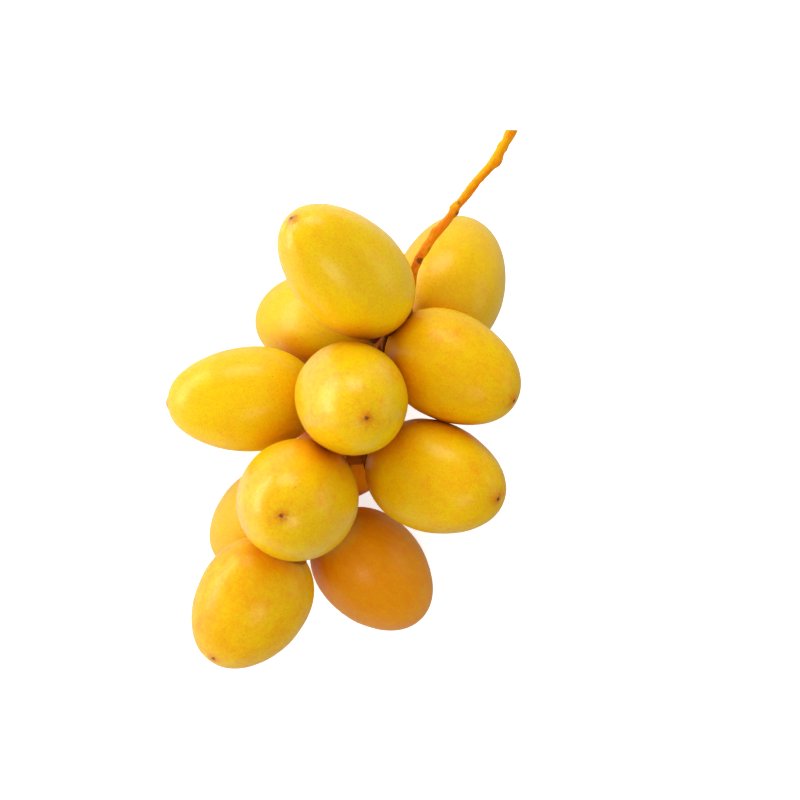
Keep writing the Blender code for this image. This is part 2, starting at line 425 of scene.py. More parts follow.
def new_group(name, inputs, outputs):
    """An empty node group with named sockets, as (group, its nodes, input node, output node)."""
    group = bpy.data.node_groups.new(name, "ShaderNodeTree")
    for direction, sockets in (("INPUT", inputs), ("OUTPUT", outputs)):
        for socket_name, kind in sockets:
            group.interface.new_socket(name=socket_name, in_out=direction, socket_type=kind)
    nodes = Nodes(group)
    return group, nodes, nodes.add("NodeGroupInput"), nodes.add("NodeGroupOutput")


def build_skin_group():
    """The skin of one date: colour, height (mm) and roughness over the date's own space."""
    vector, number, tint = "NodeSocketVector", "NodeSocketFloat", "NodeSocketColor"
    group, n, given, result = new_group(
        "date_skin_marks",
        (("Place", vector), ("Half Length", number), ("Seed", vector), ("Lemon", tint), ("Yolk", tint),
         ("Amber", tint), ("Russet_And_Shade", tint), ("Tone", number), ("Mottle", number), ("Bloom_And_Lit_Paleness", number),
         ("Freckles", number), ("Roughness", number), ("Scar Place", vector)),
        (("Colour", tint), ("Height", number), ("Roughness", number)))
    place = given.outputs["Place"]
    shifted = n.vector("ADD", place, given.outputs["Seed"])
    x, y, z = n.split(place)
    across = n.combine(x, y)
    from_axis = n.vector("LENGTH", across, output=1)
    towards_tip = n.math("DIVIDE", z, given.outputs["Half Length"])
    tip_half = n.ramp(towards_tip, 0.5, 0.8)

    # Unit direction round the axis, for what radiates from the tip and runs lengthwise
    round_x, round_y, _ = n.split(n.vector("NORMALIZE", across))
    lengthwise = n.combine(round_x, round_y, n.math("MULTIPLY", z, 0.018))
    streak_place = n.vector("ADD", lengthwise, given.outputs["Seed"])

    # Base colour: lemon to yolk, amber and russet by tone, patchy by mottle
    patches = n.noise(shifted, 0.13, detail=3.0, roughness=0.55, distortion=0.4)
    fine = n.noise(shifted, 0.9, detail=4.0, roughness=0.65)
    specks = n.noise(shifted, 2.6, detail=3.0, roughness=0.7)
    streaks = n.noise(streak_place, 9.0, detail=3.0, roughness=0.6)
    blotches = n.noise(shifted, 0.34, detail=3.0, roughness=0.6, distortion=0.3)
    tone = given.outputs["Tone"]
    for pattern, weight in ((patches, 1.5), (blotches, 1.0), (fine, 2.2)):
        tone = n.math("MULTIPLY_ADD", n.off_centre(pattern, given.outputs["Mottle"]), weight, tone)
    tone = n.math("ADD", tone, n.off_centre(streaks, 0.32), clamp=True)
    flesh = given.outputs["Lemon"]
    for riper, start, end in (("Yolk", 0.0, 0.4), ("Amber", 0.4, 0.75), ("Russet_And_Shade", 0.75, 1.0)):
        flesh = n.mix(n.ramp(tone, start, end, smooth=False), flesh, given.outputs[riper])

    # Fine pale and dark grain in the wax
    flesh = n.mix(n.ramp(specks, 0.50, 0.32, 0.0, 0.70), flesh, colour(0.76, 0.36, 0.001))
    flesh = n.mix(n.ramp(specks, 0.52, 0.66, 0.0, 0.35), flesh, colour(0.97, 0.66, 0.004))
    # Bloom: paler wax, partly real bloom and partly painted light, strongest on the lit dates
    bloom_and_lit_paleness = n.math("MULTIPLY", n.ramp(fine, 0.45, 0.70), given.outputs["Bloom_And_Lit_Paleness"])
    flesh = n.mix(n.math("MULTIPLY", bloom_and_lit_paleness, 0.6), flesh, colour(0.93, 0.64, 0.02))

    # The tip: orange halo, radiating creases and a dark scar
    from_scar = n.vector("DISTANCE", across, given.outputs["Scar Place"], output=1)
    ragged = n.math("ADD", from_scar, n.off_centre(specks, 1.4))
    halo = n.math("MULTIPLY", n.ramp(ragged, 2.5, 0.4), tip_half)
    flesh = n.mix(n.math("MULTIPLY", halo, 0.75), flesh, colour(0.80, 0.22, 0.003))
    rays = n.noise(streak_place, 16.0, detail=2.0, roughness=0.6)
    ray_reach = n.math("MULTIPLY", n.ramp(from_axis, 5.5, 1.2), tip_half)
    crease = n.math("MULTIPLY", n.ramp(rays, 0.52, 0.66), ray_reach)
    flesh = n.mix(n.math("MULTIPLY", crease, 0.14), flesh, colour(0.74, 0.27, 0.004))
    scar = n.math("MULTIPLY", n.ramp(ragged, 0.62, 0.30), tip_half)
    flesh = n.mix(n.math("MULTIPLY", scar, 0.9), flesh, colour(0.17, 0.05, 0.004))

    # Brown freckles, in some of the cells of a cell pattern
    cells = n.add("ShaderNodeTexVoronoi", feature="F1")
    n.put(shifted, cells.inputs["Vector"])
    cells.inputs["Scale"].default_value = 0.55
    pick = n.add("ShaderNodeSeparateColor")
    n.put(cells.outputs["Color"], pick.inputs[0])
    chosen = n.math("LESS_THAN", pick.outputs[0], n.math("MULTIPLY", given.outputs["Freckles"], 0.5))
    dot_size = n.math("MULTIPLY_ADD", pick.outputs[1], 0.10, 0.05)
    dot = n.ramp(n.math("DIVIDE", cells.outputs["Distance"], dot_size), 1.0, 0.4)
    freckle = n.math("MULTIPLY", dot, chosen)
    flesh = n.mix(n.math("MULTIPLY", freckle, 0.55), flesh, colour(0.42, 0.17, 0.02))

    # Paler and greener where the cup shades the broad end
    shoulder = n.ramp(towards_tip, -0.80, -0.98)
    flesh = n.mix(n.math("MULTIPLY", shoulder, 0.5), flesh, colour(0.80, 0.62, 0.12))
    n.put(flesh, result.inputs["Colour"])

    ridges = n.noise(streak_place, 1.9, detail=1.5, roughness=0.45)
    ridges = n.math("MULTIPLY", ridges, n.ramp(from_axis, 1.5, 7.0))
    n.put(n.weigh((patches, 0.10), (ridges, 0.55), (fine, 0.050), (specks, 0.022), (streaks, 0.030),
                  (crease, -0.07), (freckle, -0.03), (scar, 0.08)), result.inputs["Height"])

    rough = n.weigh((n.math("SUBTRACT", fine, 0.5), 0.22), (given.outputs["Bloom_And_Lit_Paleness"], 0.06), (scar, 0.25))
    n.put(n.math("ADD", given.outputs["Roughness"], rough), result.inputs["Roughness"])
    return group


def attribute(n, name, output):
    node = n.add("ShaderNodeAttribute", attribute_type="GEOMETRY", attribute_name=name)
    return node.outputs[output]


def fresh_material(name):
    """A new material as (material, its nodes, its shader)."""
    made = bpy.data.materials.new(name)
    made.use_nodes = True
    return made, Nodes(made.node_tree), made.node_tree.nodes["Principled BSDF"]


def bump(n, height, shader):
    """Feeds a height in mm to a shader's normal."""
    node = n.add("ShaderNodeBump")
    set_sockets(node, {"Strength": 1.0, "Distance": MM})
    n.put(height, node.inputs["Height"])
    n.put(node.outputs["Normal"], shader.inputs["Normal"])


def skin_material(number, row, group, settings, draw):
    """The waxy skin of one date."""
    made, n, shader = fresh_material(f"date_skin_{number:02d}")
    marks = n.add("ShaderNodeGroup", node_tree=group)
    n.put(attribute(n, "growth", "Vector"), marks.inputs["Place"])
    marks.inputs["Half Length"].default_value = row["length"] / 2
    marks.inputs["Seed"].default_value = [draw.uniform(0.0, 90.0) for _ in range(3)]
    for name in ("lemon", "yolk", "amber", "russet_and_shade"):
        marks.inputs[name.title()].default_value = colour(*getattr(settings, name))
    for name in ("tone", "mottle", "bloom_and_lit_paleness", "freckles"):
        marks.inputs[name.title()].default_value = row[name]
    marks.inputs["Roughness"].default_value = settings.roughness
    above = growing_turn(row).to_3x3().inverted() @ UP
    marks.inputs["Scar Place"].default_value = (*(above.xy.normalized() * row["scar_up"]), 0.0)
    # Painted shade: the skin is warmer where neighbours are near and darker deep in the gaps between dates
    skin = n.paint_crowd_shade(marks.outputs["Colour"], settings.warm_shade_reach, NEAR_SHADE)
    n.put(n.paint_crowd_shade(skin, settings.gap_shade_reach, DEEP_SHADE), shader.inputs["Base Color"])
    n.put(marks.outputs["Roughness"], shader.inputs["Roughness"])
    bump(n, marks.outputs["Height"], shader)
    set_sockets(shader, {
        "IOR": 1.45,
        "Specular IOR Level": 0.22,
        "Specular Tint": colour(1.0, 0.80, 0.25),
        "Subsurface Weight": settings.glow,
        "Subsurface Radius": (1.0, 0.35, 0.04),
        "Subsurface Scale": 0.004,
        "Coat Weight": settings.wax * row["shine"],
        "Coat Roughness": 0.25,
        "Coat IOR": 1.4,
    })
    return made


def skin_at(polar):
    """Radius and height of the skin of a date of length and girth 1, where polar is 0 at the broad end."""
    roundness = 1.0 if polar < math.pi / 2 else BLUNT
    radius = 0.5 * max(0.0, math.sin(polar)) ** roundness * (1 + EGG * math.cos(polar))
    reach = 0.5 if polar < math.pi / 2 else 0.5 - NUB_HEIGHT / USUAL_LENGTH
    height = -reach * math.cos(polar)
    height += DIMPLE_DEPTH / USUAL_LENGTH * math.exp(-((polar / DIMPLE_REACH) ** 2))
    height += NUB_HEIGHT / USUAL_LENGTH * math.exp(-(((math.pi - polar) / NUB_REACH) ** 2))
    return max(radius, 0.0), height


def date_profile(rings):
    """Radius and height of each ring of a date of length and girth 1, from its broad end up."""
    polars = [math.pi * ring / rings for ring in range(rings + 1)]
    return [skin_at(polar - RING_CROWDING * math.sin(2 * polar)) for polar in polars]


def cup_profile(rings):
    """Radius and height (mm) of each ring of a cup, from under it over its rim to the date's dimple."""
    outer, inner = [], []
    half = rings // 2
    for ring in range(half + 1):
        polar = CUP_POLAR * ring / half
        radius, height = skin_at(polar)
        radius *= USUAL_GIRTH
        height = (height + 0.5) * USUAL_LENGTH
        share = ring / half
        thickness = CUP_EDGE + CUP_PAD * (1 - share ** 2) ** 0.8
        lean = math.sin(polar)
        outer.append((radius + lean * (CUP_GAP + thickness), height - CUP_GAP - thickness))
        inner.append((radius + lean * CUP_GAP, height - CUP_GAP))
    return outer + inner[:-1][::-1]


def strand_line():
    """Centre points, radii and lengths gone (m) along the strand, smooth through STRAND's places."""
    knots = [Vector((*(Vector(place) - MIDDLE), radius)) * MM for place, radius in STRAND]
    knots = [2 * knots[0] - knots[1], *knots, 2 * knots[-1] - knots[-2]]
    line = []
    for before, here, after, beyond in zip(knots, knots[1:], knots[2:], knots[3:]):
        for step in range(STRAND_STEPS):
            t = step / STRAND_STEPS
            line.append(0.5 * (2 * here + (after - before) * t
                               + (2 * before - 5 * here + 4 * after - beyond) * t ** 2
                               + (3 * here - before - 3 * after + beyond) * t ** 3))
    line.append(knots[-2])
    made, gone = [], 0.0
    for number, knot in enumerate(line):
        if number:
            gone += (knot.xyz - line[number - 1].xyz).length
        made.append((knot.xyz, knot.w, gone))
    return made


def point_along(line, reach):
    """The centre point at a length from the strand's first point (m), and the strand's direction."""
    for (here, _, gone), (after, _, gone_after) in zip(line, line[1:]):
        if gone_after >= reach:
            share = (reach - gone) / (gone_after - gone)
            return here.lerp(after, share), (after - here).normalized()
    raise ValueError("the strand is shorter than that")


def outward(along, side):
    """The direction that faces one side of the strand, which is 90 on top and 180 towards +X."""
    level = along.cross(UP).normalized()
    return level * math.cos(math.radians(side)) + level.cross(along) * math.sin(math.radians(side))


def growing_turn(row):
    """The turn from an upright date to the way it grows."""
    return Euler((0.0, math.radians(90 - row["rise"]), math.radians(row["heading"]))).to_matrix().to_4x4()


def middle_of_date(number, row):
    """Where the middle of a date lies (m): its form's box set against its solid's box."""
    low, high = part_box(f"date_{number:02d}")
    turn = growing_turn(row).to_3x3()
    points = []
    for radius, height in date_profile(BOX_STEPS):
        for step in range(BOX_STEPS):
            around = math.tau * step / BOX_STEPS
            points.append(turn @ (Vector((radius * math.cos(around) * row["girth"],
                                          radius * math.sin(around) * row["girth"],
                                          height * row["length"])) * MM))
    form_low, form_high = low_and_high(points)
    middle = (Vector(low) + Vector(high) - form_low - form_high) / 2
    middle.z = high[2] - form_high.z
    return middle


def broad_end(number, row):
    """Where a date's broad end lies (m), and the direction to its narrow end."""
    axis = (growing_turn(row).to_3x3() @ UP).normalized()
    return middle_of_date(number, row) - axis * row["length"] / 2 * MM, axis


# What colours and shares have in common as settings
COLOUR = dict(subtype="COLOR", size=3, min=0.0, max=1.0)
SHARE = dict(subtype="FACTOR", min=0.0, max=1.0)


class DateSettings(bpy.types.PropertyGroup):
    """Colours and finish of the dates' skin."""

    lemon: bpy.props.FloatVectorProperty(
        name="Lemon", description="Skin colour of the least ripe patches",
        default=(0.94, 0.63, 0.0005), **COLOUR)
    yolk: bpy.props.FloatVectorProperty(
        name="Yolk", description="Skin colour of ripe patches", default=(0.93, 0.52, 0.0005), **COLOUR)
    amber: bpy.props.FloatVectorProperty(
        name="Amber", description="Skin colour of very ripe patches",
        default=(0.90, 0.34, 0.0005), **COLOUR)
    # Russet is also painted shade: the dates that lie in shade are given it through their tone
    russet_and_shade: bpy.props.FloatVectorProperty(
        name="Russet_And_Shade", description="Skin colour of the ripest dates",
        default=(0.88, 0.24, 0.001), **COLOUR)
    roughness: bpy.props.FloatProperty(
        name="Roughness", description="How dull the skin is under its wax", default=0.36, **SHARE)
    wax: bpy.props.FloatProperty(
        name="Wax", description="Weight of the clear wax over the skin", default=0.60, **SHARE)
    glow: bpy.props.FloatProperty(
        name="Glow", description="How much light passes through the flesh", default=0.50, **SHARE)
    # Reaches of the painted shade between dates
    warm_shade_reach: bpy.props.FloatProperty(
        name="Warm reach", description="How near a neighbour makes the skin look warmer", unit="LENGTH",
        min=0.001, max=0.05, default=0.007, precision=4)
    gap_shade_reach: bpy.props.FloatProperty(
        name="Gap reach", description="How near other dates darken the skin deep in a gap", unit="LENGTH",
        min=0.001, max=0.05, default=0.012, precision=4)
    unevenness: bpy.props.FloatProperty(
        name="Unevenness", description="Height of the slow lumps in the skin", unit="LENGTH",
        min=0.0, max=0.002, default=0.0004, precision=5)
    sides: bpy.props.IntProperty(
        name="Sides", description="Faces round a date", min=12, max=128, default=72)
    rings: bpy.props.IntProperty(
        name="Rings", description="Faces along a date", min=12, max=128, default=72)


class DATESTRAND_OT_dates(bpy.types.Operator):
    """Add the twelve dates, each over its solid"""

    bl_idname = "date_strand.dates"
    bl_label = "Dates"
    bl_options = {"REGISTER", "UNDO"}

    def execute(self, context):
        settings = context.scene.date_settings
        group = build_skin_group()
        draw = random.Random(SKIN_SEED + 1)
        bpy.ops.object.select_all(action="DESELECT")
        bpy.ops.mesh.primitive_uv_sphere_add(segments=settings.sides, ring_count=settings.rings,
                                             radius=0.5, calc_uvs=True)
        model = context.object
        shape_rings(model, date_profile(settings.rings))
        for number, row in enumerate(DATES, 1):
            date = copy_of(model, f"fruit_{number:02d}")
            size = Vector((row["girth"], row["girth"], row["length"])) * MM
            store(date, "growth", "FLOAT_VECTOR",
                  [value / MM for vertex in date.data.vertices for value in vertex.co * size])
            middle = middle_of_date(number, row)
            settle(date, Matrix.Translation(middle) @ growing_turn(row) @ Matrix.Diagonal((*size, 1.0)))
            displace(date, "skin_lumps", LUMP_WIDTH, settings.unevenness / MM)
            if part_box(f"date_{number:02d}")[0][2] < WELD:
                trim(date, (0.0, 0.0, 0.0), -UP)
            dress(date, skin_material(number, row, group, settings, draw),
                  [f"date_{number:02d}"])
        remove(model)
        return {"FINISHED"}


class StemSettings(bpy.types.PropertyGroup):
    """Colours and finish of the stem and its cups."""

    gold: bpy.props.FloatVectorProperty(
        name="Gold", description="Main colour of the fresh stem towards its cut end",
        default=(1.0, 0.42, 0.001), **COLOUR)
    orange: bpy.props.FloatVectorProperty(
        name="Orange", description="Main colour of the fresh stem towards the dates",
        default=(1.0, 0.21, 0.0005), **COLOUR)
    straw: bpy.props.FloatVectorProperty(
        name="Straw", description="Paler colour in the stem's fibres",
        default=(1.0, 0.58, 0.003), **COLOUR)
    bark: bpy.props.FloatVectorProperty(
        name="Bark", description="Colour of scars and dry edges", default=(0.24, 0.070, 0.012), **COLOUR)
    # Painted shade: the darker colour of the stem and stalks in among the dates
    shaded: bpy.props.FloatVectorProperty(
        name="Shaded", description="Colour of the stem and stalks among the dates",
        default=(0.50, 0.13, 0.002), **COLOUR)
    roughness: bpy.props.FloatProperty(
        name="Roughness", description="How dull the stem is", default=0.48, **SHARE)
    # Reach of the painted shade among the dates
    gap_shade_reach: bpy.props.FloatProperty(
        name="Gap reach", description="How near the dates darken the stem and cups between them",
        unit="LENGTH", min=0.001, max=0.05, default=0.012, precision=4)
    voxel: bpy.props.FloatProperty(
        name="Grain of the mesh", description="Size of the cells that fuse the stem's parts",
        unit="LENGTH", min=0.0001, max=0.001, default=0.00022, precision=5)


def stem_material(settings):
    """Fresh orange wood with fibres, scars and a pale cut end."""
    made, n, shader = fresh_material("stem_wood")
    along = attribute(n, "along", "Vector")
    scar = attribute(n, "scar", "Fac")
    cut = attribute(n, "cut", "Fac")
    stretched = n.vector("MULTIPLY", along, (0.10, 1.0, 1.0))
    fibres = n.noise(stretched, 3.2, detail=4.0, roughness=0.6)
    patches = n.noise(along, 0.35, detail=3.0, roughness=0.55)
    grain = n.noise(along, 2.6, detail=3.0, roughness=0.6)
    reach, left, _ = n.split(along)
    orange = colour(*settings.orange)
    straw = colour(*settings.straw)
    wood = n.mix(n.ramp(reach, 12.0, 32.0), colour(*settings.gold), orange)
    # More orange at the cut. Painted shade makes the side away from the lights more orange, and painted
    # light makes the lit side paler
    wood = n.mix(n.ramp(reach, 6.0, 2.5, 0.0, 0.65), wood, orange)
    painted_shade_side = n.math("MULTIPLY", n.ramp(left, 0.35, -0.55), n.ramp(reach, 3.0, 9.0, 0.0, 0.8))
    wood = n.mix(painted_shade_side, wood, orange)
    painted_lit_side = n.math("MULTIPLY", n.ramp(left, 0.15, 0.95), n.ramp(reach, 24.0, 32.0, 0.6, 0.0))
    wood = n.mix(painted_lit_side, wood, straw)
    wood = n.mix(n.ramp(fibres, 0.42, 0.68, 0.0, 0.45), wood, straw)
    wood = n.mix(n.ramp(patches, 0.55, 0.75, 0.0, 0.35), wood, straw)
    wood = n.mix(n.ramp(grain, 0.42, 0.28, 0.0, 0.35), wood, colour(0.62, 0.20, 0.01))
    specks = n.noise(along, 1.4, detail=1.0)
    wood = n.mix(n.ramp(specks, 0.30, 0.22, 0.0, 0.7), wood, colour(*settings.bark))
    ragged = n.math("ADD", scar, n.off_centre(grain, 0.5))
    wood = n.mix(n.ramp(ragged, 0.25, 0.55, 0.0, 0.6), wood, colour(0.55, 0.20, 0.02))
    wood = n.mix(n.ramp(ragged, 0.50, 0.72, 0.0, 0.9), wood, colour(*settings.bark))
    # Painted shade: darker where the stem runs in among the dates
    wood = n.mix(n.ramp(reach, 42.0, 50.0, 0.0, 0.75), wood, colour(*settings.shaded))
    pith = n.mix(n.ramp(grain, 0.4, 0.6), colour(0.80, 0.55, 0.22), colour(0.55, 0.30, 0.09))
    wood = n.mix(cut, wood, pith)
    # Painted shade where the dates crowd the stem
    n.put(n.paint_crowd_shade(wood, settings.gap_shade_reach, WOOD_SHADE), shader.inputs["Base Color"])
    hollows = n.ramp(ragged, 0.45, 0.7)
    bump(n, n.weigh((fibres, 0.16), (grain, 0.10), (patches, 0.12), (hollows, -0.12)), shader)
    n.put(n.math("MULTIPLY_ADD", grain, 0.2, settings.roughness - 0.1), shader.inputs["Roughness"])
    set_sockets(shader, {
        **WOOD_SHEEN,
        "Subsurface Weight": 0.30,
        "Subsurface Radius": (1.0, 0.40, 0.06),
        "Subsurface Scale": 0.001,
    })
    return made


def cup_material(settings):
    """The waxy cup under a date, drying brown at its rim."""
    made, n, shader = fresh_material("cup_scale")
    place = attribute(n, "growth", "Vector")
    x, y, _ = n.split(place)
    across = n.combine(x, y)
    from_axis = n.vector("LENGTH", across, output=1)
    rays = n.noise(n.vector("NORMALIZE", across), 7.0, detail=3.0, roughness=0.6)
    grain = n.noise(n.vector("ADD", place, attribute(n, "seed", "Vector")), 0.9, detail=4.0, roughness=0.6)
    edge = n.math("ADD", from_axis, n.off_centre(grain, 2.0))
    scale = n.mix(n.ramp(grain, 0.40, 0.62), colour(0.46, 0.12, 0.002), colour(0.56, 0.19, 0.004))
    scale = n.mix(n.ramp(rays, 0.45, 0.65, 0.0, 0.35), scale, colour(0.55, 0.22, 0.012))
    scale = n.mix(n.ramp(edge, 3.0, 4.8, 0.0, 0.65), scale, colour(0.42, 0.13, 0.006))
    scale = n.mix(n.ramp(edge, 4.9, 5.8, 0.0, 0.45), scale, colour(*settings.bark))
    # Painted shade where the dates crowd the cup
    n.put(n.paint_crowd_shade(scale, settings.gap_shade_reach, WOOD_SHADE), shader.inputs["Base Color"])
    bump(n, n.weigh((grain, 0.18), (rays, 0.14)), shader)
    n.put(n.math("MULTIPLY_ADD", grain, 0.25, 0.50), shader.inputs["Roughness"])
    set_sockets(shader, WOOD_SHEEN)
    return made


class DATESTRAND_OT_stem(bpy.types.Operator):
    """Add the stem with its scars and the stalks that carry the cups"""

    bl_idname = "date_strand.stem"
    bl_label = "Stem"
    bl_options = {"REGISTER", "UNDO"}

    def execute(self, context):
        settings = context.scene.stem_settings
        line = strand_line()
        parts = [self.tube(line)]
        for scar in STEM_SCARS:
            parts.append(self.swelling(line, *scar[:3]))
        for number, row in enumerate(DATES, 1):
            parts += self.stalk(line, number, row)
        stem = join(parts, "stem")
        apply_modifier(stem, "REMESH", mode="VOXEL", voxel_size=settings.voxel, use_smooth_shade=True)
        apply_modifier(stem, "SMOOTH", factor=0.5, iterations=4)
        for lumps in STEM_RELIEF:
            displace(stem, *lumps)
        cut_point = point_along(line, CUT_BACK * MM)[0]
        trim(stem, cut_point, CUT_NORMAL, fan=True)
        self.mark(stem, line, cut_point)
        dress(stem, stem_material(settings), ["strand"])
        return {"FINISHED"}

    def tube(self, line):
        """The stem itself: a round tube that swells and thins."""
        curve = bpy.data.curves.new("stem_line", "CURVE")
        curve.dimensions = "3D"
        curve.bevel_depth = 1.0
        curve.bevel_resolution = 3
        curve.use_fill_caps = True
        spline = curve.splines.new("POLY")
        spline.points.add(len(line) - 1)
        for knot, (place, radius, _) in zip(spline.points, line):
            knot.co = (*place, 1.0)
            knot.radius = radius
        made = bpy.data.objects.new("stem_line", curve)
        bpy.context.scene.collection.objects.link(made)
        make_active(made)
        bpy.ops.object.convert(target="MESH")
        return bpy.context.object

    def swelling(self, line, reach, side, radius):
        """The low knob that a fallen flower leaves."""
        centre, along = point_along(line, (CUT_BACK + reach) * MM)
        place = centre + outward(along, side) * radius * MM
        turn = UP.rotation_difference(along).to_euler()
        bpy.ops.mesh.primitive_uv_sphere_add(segments=16, ring_count=12, radius=radius * MM,
                                             location=place, rotation=turn,
                                             scale=(1.0, 1.0, SWELLING_STRETCH))
        return bpy.context.object

    def stalk(self, line, number, row):
        """The short stalk to one date and the pad that its cup sits on."""
        end, axis = broad_end(number, row)
        root = min((place for place, _, _ in line), key=lambda place: (place - end).length)
        top = end - axis * STALK_TOP_DEPTH * MM
        turn = UP.rotation_difference(top - root).to_euler()
        bpy.ops.mesh.primitive_cone_add(vertices=20, radius1=STALK_FOOT_RADIUS * MM,
                                        radius2=STALK_TOP_RADIUS * MM, depth=(top - root).length,
                                        location=(root + top) / 2, rotation=turn)
        stalk = bpy.context.object
        turn = UP.rotation_difference(axis).to_euler()
        bpy.ops.mesh.primitive_uv_sphere_add(segments=20, ring_count=12, radius=PAD_RADIUS * MM,
                                             location=end - axis * PAD_DEPTH * MM, rotation=turn,
                                             scale=(1.0, 1.0, PAD_FLATNESS))
        return [stalk, bpy.context.object]

    def mark(self, stem, line, cut_point):
        """Stores where each point lies along the stem (mm), how dark a scar makes it, and the cut."""
        tree = KDTree(len(line))
        for number, (place, _, _) in enumerate(line):
            tree.insert(place, number)
        tree.balance()
        scars = []
        for reach, side, radius, dark in STEM_SCARS:
            centre, along = point_along(line, (CUT_BACK + reach) * MM)
            scars.append((centre + outward(along, side) * MARK_OUT * radius * MM,
                          radius * MARK_SPREAD * MM, dark * MARK_STRENGTH))
        places, marks, cuts = [], [], []
        for vertex in stem.data.vertices:
            _, number, _ = tree.find(vertex.co)
            here, _, gone = line[number]
            after = line[min(number + 1, len(line) - 1)][0]
            before = line[max(number - 1, 0)][0]
            along = (after - before).normalized()
            offset = vertex.co - here
            level = along.cross(UP).normalized()
            places += [(gone + offset.dot(along)) / MM, offset.dot(level) / MM,
                       offset.dot(level.cross(along)) / MM]
            near = [dark * max(0.0, 1 - (vertex.co - place).length / spread)
                    for place, spread, dark in scars]
            marks.append(min(1.0, max(near)))
            cuts.append(1.0 if abs((vertex.co - cut_point).dot(CUT_NORMAL)) < WELD else 0.0)
        store(stem, "along", "FLOAT_VECTOR", places)
        store(stem, "scar", "FLOAT", marks)
        store(stem, "cut", "FLOAT", cuts)


class DATESTRAND_OT_cups(bpy.types.Operator):
    """Add the cups that hold the dates' broad ends"""

    bl_idname = "date_strand.cups"
    bl_label = "Cups"
    bl_options = {"REGISTER", "UNDO"}

    def execute(self, context):
        material = cup_material(context.scene.stem_settings)
        draw = random.Random(SKIN_SEED + 2)
        model = self.model()
        for number, row in enumerate(DATES, 1):
            cup = copy_of(model, f"cup_{number:02d}")
            store(cup, "growth", "FLOAT_VECTOR",
                  [value for vertex in cup.data.vertices for value in vertex.co])
            seed = [draw.uniform(0.0, 50.0) for _ in range(3)]
            store(cup, "seed", "FLOAT_VECTOR", seed * len(cup.data.vertices))
            place, _ = broad_end(number, row)
            girth = row["girth"] / USUAL_GIRTH
            roll = Matrix.Rotation(draw.uniform(0.0, math.tau), 4, "Z")
            size = Matrix.Diagonal((girth * MM, girth * MM, MM, 1.0))
            settle(cup, Matrix.Translation(place) @ growing_turn(row) @ roll @ size)
            dress(cup, material)
        remove(model)
        return {"FINISHED"}

    def model(self):
        """One cup, upright, in millimetres: two whorls of three lobes."""
        whorls = []
        for turn in (0.0, math.pi / CUP_LOBES):
            bpy.ops.object.select_all(action="DESELECT")
            bpy.ops.mesh.primitive_uv_sphere_add(segments=CUP_SIDES, ring_count=CUP_RINGS, radius=4.0)
            whorl = bpy.context.object
            shape_rings(whorl, cup_profile(CUP_RINGS))
            rim = max(vertex.co.xy.length for vertex in whorl.data.vertices)
            make_active(whorl)
            bpy.ops.object.mode_set(mode="EDIT")
            for lobe in range(CUP_LOBES):
                around = Matrix.Rotation(math.tau * lobe / CUP_LOBES, 3, "Z")
                notch = around @ Vector((rim, 0.0, 0.0))
                near = [vertex.index for vertex in bmesh.from_edit_mesh(whorl.data).verts
                        if (vertex.co.xy - notch.xy).length < NOTCH_WIDTH]
                select_vertices(whorl, near)
                bpy.ops.transform.translate(value=around @ NOTCH, use_proportional_edit=True,
                                            proportional_edit_falloff="SMOOTH",
                                            proportional_size=NOTCH_REACH)
            bpy.ops.object.mode_set(mode="OBJECT")
            outside = WHORL_GAP * len(whorls)
            growth = 1 + outside / rim
            settle(whorl, Matrix.Translation((0.0, 0.0, -outside)) @ Matrix.Rotation(turn, 4, "Z")
                   @ Matrix.Diagonal((growth, growth, 1.0, 1.0)))
            whorls.append(whorl)
        return join(whorls, "cup_model")


class StageSettings(bpy.types.PropertyGroup):
    """Floor, light and camera."""

    floor_size: bpy.props.FloatProperty(
        name="Floor size", description="Side of the floor", unit="LENGTH", default=6.0)
    floor_glow: bpy.props.FloatProperty(
        name="Floor glow", description="How much the floor whitens towards the camera", min=0.0, max=2.0,
        default=0.64)
    surround: bpy.props.FloatProperty(
        name="Surroundings", description="Brightness of the white surroundings", min=0.0, max=2.0,
        default=0.735)
    floor_colour: bpy.props.FloatVectorProperty(
        name="Floor", description="Colour of the floor", subtype="COLOR", size=3, default=(0.9, 0.9, 0.9))
    far_colour: bpy.props.FloatVectorProperty(
        name="Shaded floor", description="Colour that the dates see in the floor on their shaded side",
        subtype="COLOR", size=3, default=(0.25, 0.25, 0.25))
    camera_height: bpy.props.FloatProperty(
        name="Camera height", description="Height of the camera over the floor", unit="LENGTH",
        default=0.6)
    lens: bpy.props.FloatProperty(name="Lens", description="Focal length", unit="CAMERA", default=105.165)


